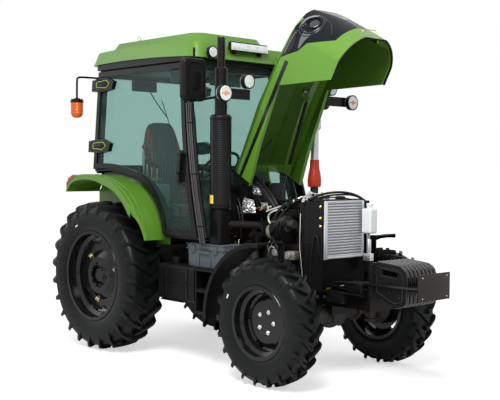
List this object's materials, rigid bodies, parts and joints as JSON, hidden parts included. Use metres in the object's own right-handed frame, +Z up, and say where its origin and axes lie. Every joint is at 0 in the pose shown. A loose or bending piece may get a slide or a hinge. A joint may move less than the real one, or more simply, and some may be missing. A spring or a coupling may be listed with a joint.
{
  "type": "farm tractor",
  "caption": "Four-wheel-drive farm tractor with a glazed cab, hinged hood raised over the open engine, front weights, rear hitch, turning wheels, steering and opening doors.",
  "frame": {"origin": "on the ground, under the middle of the outline in length and width", "axes": "+X forwards along the tractor, +Y to its left, +Z up"},
  "size_m": [4.1309, 1.857, 2.9932],
  "materials": {
    "green_paint": "gloss",
    "black_paint": "semi-gloss",
    "cab_black": "satin",
    "rim_black": "gloss",
    "weight_black": "painted, rough casting",
    "cast_grey": "painted, satin",
    "engine_grey": "painted, oily",
    "pump_casting": "raw casting",
    "red_silicone": "smooth hose",
    "galvanised": "zinc coated",
    "seal_rubber": "matte",
    "rusty_iron": "heat-stained",
    "radiator_black": "painted, matte",
    "bare_aluminium": "bare, fine fins",
    "white_plastic": "translucent",
    "black_plastic": "satin",
    "grey_plastic": "satin",
    "orange_plastic": "translucent",
    "red_plastic": "translucent",
    "lamp_lens": "clear lens over a reflector",
    "tinted_glass": "green tint",
    "seat_cloth": "woven",
    "chrome_rod": "polished",
    "bare_steel": "machined",
    "tyre_rubber": "matte"
  },
  "bodies": {
    "chassis": {"transmission_housing": "cast_grey", "engine_block": "engine_grey", "engine_head": "engine_grey", "engine_accessories": "pump_casting", "intake_hose": "red_silicone", "intake_stack": "galvanised", "hood_bracket": "black_paint", "exhaust_manifold": "rusty_iron", "muffler": "black_paint", "front_frame": "black_paint", "front_axle": "black_paint", "front_weights": "weight_black", "radiator": "radiator_black", "condenser": "bare_aluminium", "coolant_bottle": "white_plastic", "fuel_tank": "black_plastic", "toolbox": "grey_plastic", "cab_steps": "black_paint", "rear_fenders": "green_paint", "cab_frame": "cab_black", "cab_floor": "cab_black", "cab_roof": "green_paint", "windows": "tinted_glass", "seat_base": "black_paint", "seat_cushions": "seat_cloth", "steering_column": "black_plastic", "lamp_arms": "black_paint", "mirrors": "black_plastic", "cab_lamps": "lamp_lens", "beacon": "orange_plastic", "tail_lamps": "red_plastic", "hitch_frame": "black_paint", "pto_shaft": "bare_steel"},
    "hood": {"hood_panel": "green_paint", "hood_mask": "black_plastic", "hood_trim": "seal_rubber", "head_lamps": "lamp_lens"},
    "strut_cylinder": {"gas_strut_cylinder": "black_paint"},
    "strut_rod": {"gas_strut_rod": "chrome_rod"},
    "door_right": {"door_frame_right": "cab_black", "door_glass_right": "tinted_glass"},
    "door_left": {"door_frame_left": "cab_black", "door_glass_left": "tinted_glass"},
    "roof_hatch": {"roof_hatch": "black_plastic"},
    "fan": {"fan_blades": "black_plastic"},
    "knuckle_right": {"steering_knuckle_right": "black_paint", "front_mudguard_right": "black_plastic"},
    "knuckle_left": {"steering_knuckle_left": "black_paint", "front_mudguard_left": "black_plastic"},
    "front_wheel_right": {"front_tyre_right": "tyre_rubber", "front_rim_right": "rim_black"},
    "front_wheel_left": {"front_tyre_left": "tyre_rubber", "front_rim_left": "rim_black"},
    "rear_wheel_right": {"rear_tyre_right": "tyre_rubber", "rear_rim_right": "rim_black"},
    "rear_wheel_left": {"rear_tyre_left": "tyre_rubber", "rear_rim_left": "rim_black"},
    "lower_links": {"lower_links": "black_paint"},
    "lift_arms": {"lift_arms": "black_paint"}
  },
  "joints": [
    {"name": "hood_hinge", "type": "hinge", "parent": "chassis", "child": "hood", "pos_m": [0.2035, 0, 1.557], "axis": [0, 1, 0], "range_deg": [0, 59.5]},
    {"name": "strut_eye", "type": "hinge", "parent": "hood", "child": "strut_cylinder", "pos_m": [0.55426, 0.205, 2.30827], "axis": [0, 1, 0], "range_deg": [-5.26, 0.05]},
    {"name": "strut_slide", "type": "slide", "parent": "strut_cylinder", "child": "strut_rod", "axis": [0.3469, 0, 0.9379], "range_m": [0, 0.11828]},
    {"name": "door_right_hinge", "type": "hinge", "parent": "chassis", "child": "door_right", "pos_m": [-1.5255, -0.62911, 1.9], "axis": [0, -0.0659, -0.9978], "range_deg": [0, 60]},
    {"name": "door_left_hinge", "type": "hinge", "parent": "chassis", "child": "door_left", "pos_m": [-1.5255, 0.62911, 1.9], "axis": [0, -0.0659, 0.9978], "range_deg": [0, 60]},
    {"name": "roof_hatch_hinge", "type": "hinge", "parent": "chassis", "child": "roof_hatch", "pos_m": [-0.5165, 0, 2.908], "axis": [0, 1, 0], "range_deg": [0, 30]},
    {"name": "fan_spin", "type": "hinge", "parent": "chassis", "child": "fan", "pos_m": [0.9455, 0, 1.04], "axis": [1, 0, 0], "continuous": true},
    {"name": "steer_right", "type": "hinge", "parent": "chassis", "child": "knuckle_right", "pos_m": [1.0115, -0.54, 0.502], "axis": [0, 0, 1], "range_deg": [-30, 30]},
    {"name": "steer_left", "type": "hinge", "parent": "chassis", "child": "knuckle_left", "pos_m": [1.0115, 0.54, 0.502], "axis": [0, 0, 1], "range_deg": [-30, 30]},
    {"name": "front_wheel_right_spin", "type": "hinge", "parent": "knuckle_right", "child": "front_wheel_right", "pos_m": [1.0115, -0.703, 0.502], "axis": [0, 1, 0], "continuous": true},
    {"name": "front_wheel_left_spin", "type": "hinge", "parent": "knuckle_left", "child": "front_wheel_left", "pos_m": [1.0115, 0.703, 0.502], "axis": [0, 1, 0], "continuous": true},
    {"name": "rear_wheel_right_spin", "type": "hinge", "parent": "chassis", "child": "rear_wheel_right", "pos_m": [-1.1285, -0.737, 0.688], "axis": [0, 1, 0], "continuous": true},
    {"name": "rear_wheel_left_spin", "type": "hinge", "parent": "chassis", "child": "rear_wheel_left", "pos_m": [-1.1285, 0.737, 0.688], "axis": [0, 1, 0], "continuous": true},
    {"name": "lower_link_lift", "type": "hinge", "parent": "chassis", "child": "lower_links", "pos_m": [-1.1885, 0, 0.47], "axis": [0, 1, 0], "range_deg": [0, 24]},
    {"name": "lift_arm_lift", "type": "hinge", "parent": "chassis", "child": "lift_arms", "pos_m": [-1.3535, 0, 0.862], "axis": [0, 1, 0], "range_deg": [0, 34]}
  ],
  "couplings": [
    {"joint": "strut_eye", "follows": "hood_hinge", "ratio": -0.08763},
    {"joint": "strut_slide", "follows": "hood_hinge", "m_per_rad": 0.11371},
    {"joint": "steer_left", "follows": "steer_right", "ratio": 1},
    {"joint": "lift_arm_lift", "follows": "lower_link_lift", "ratio": 1.4167}
  ]
}
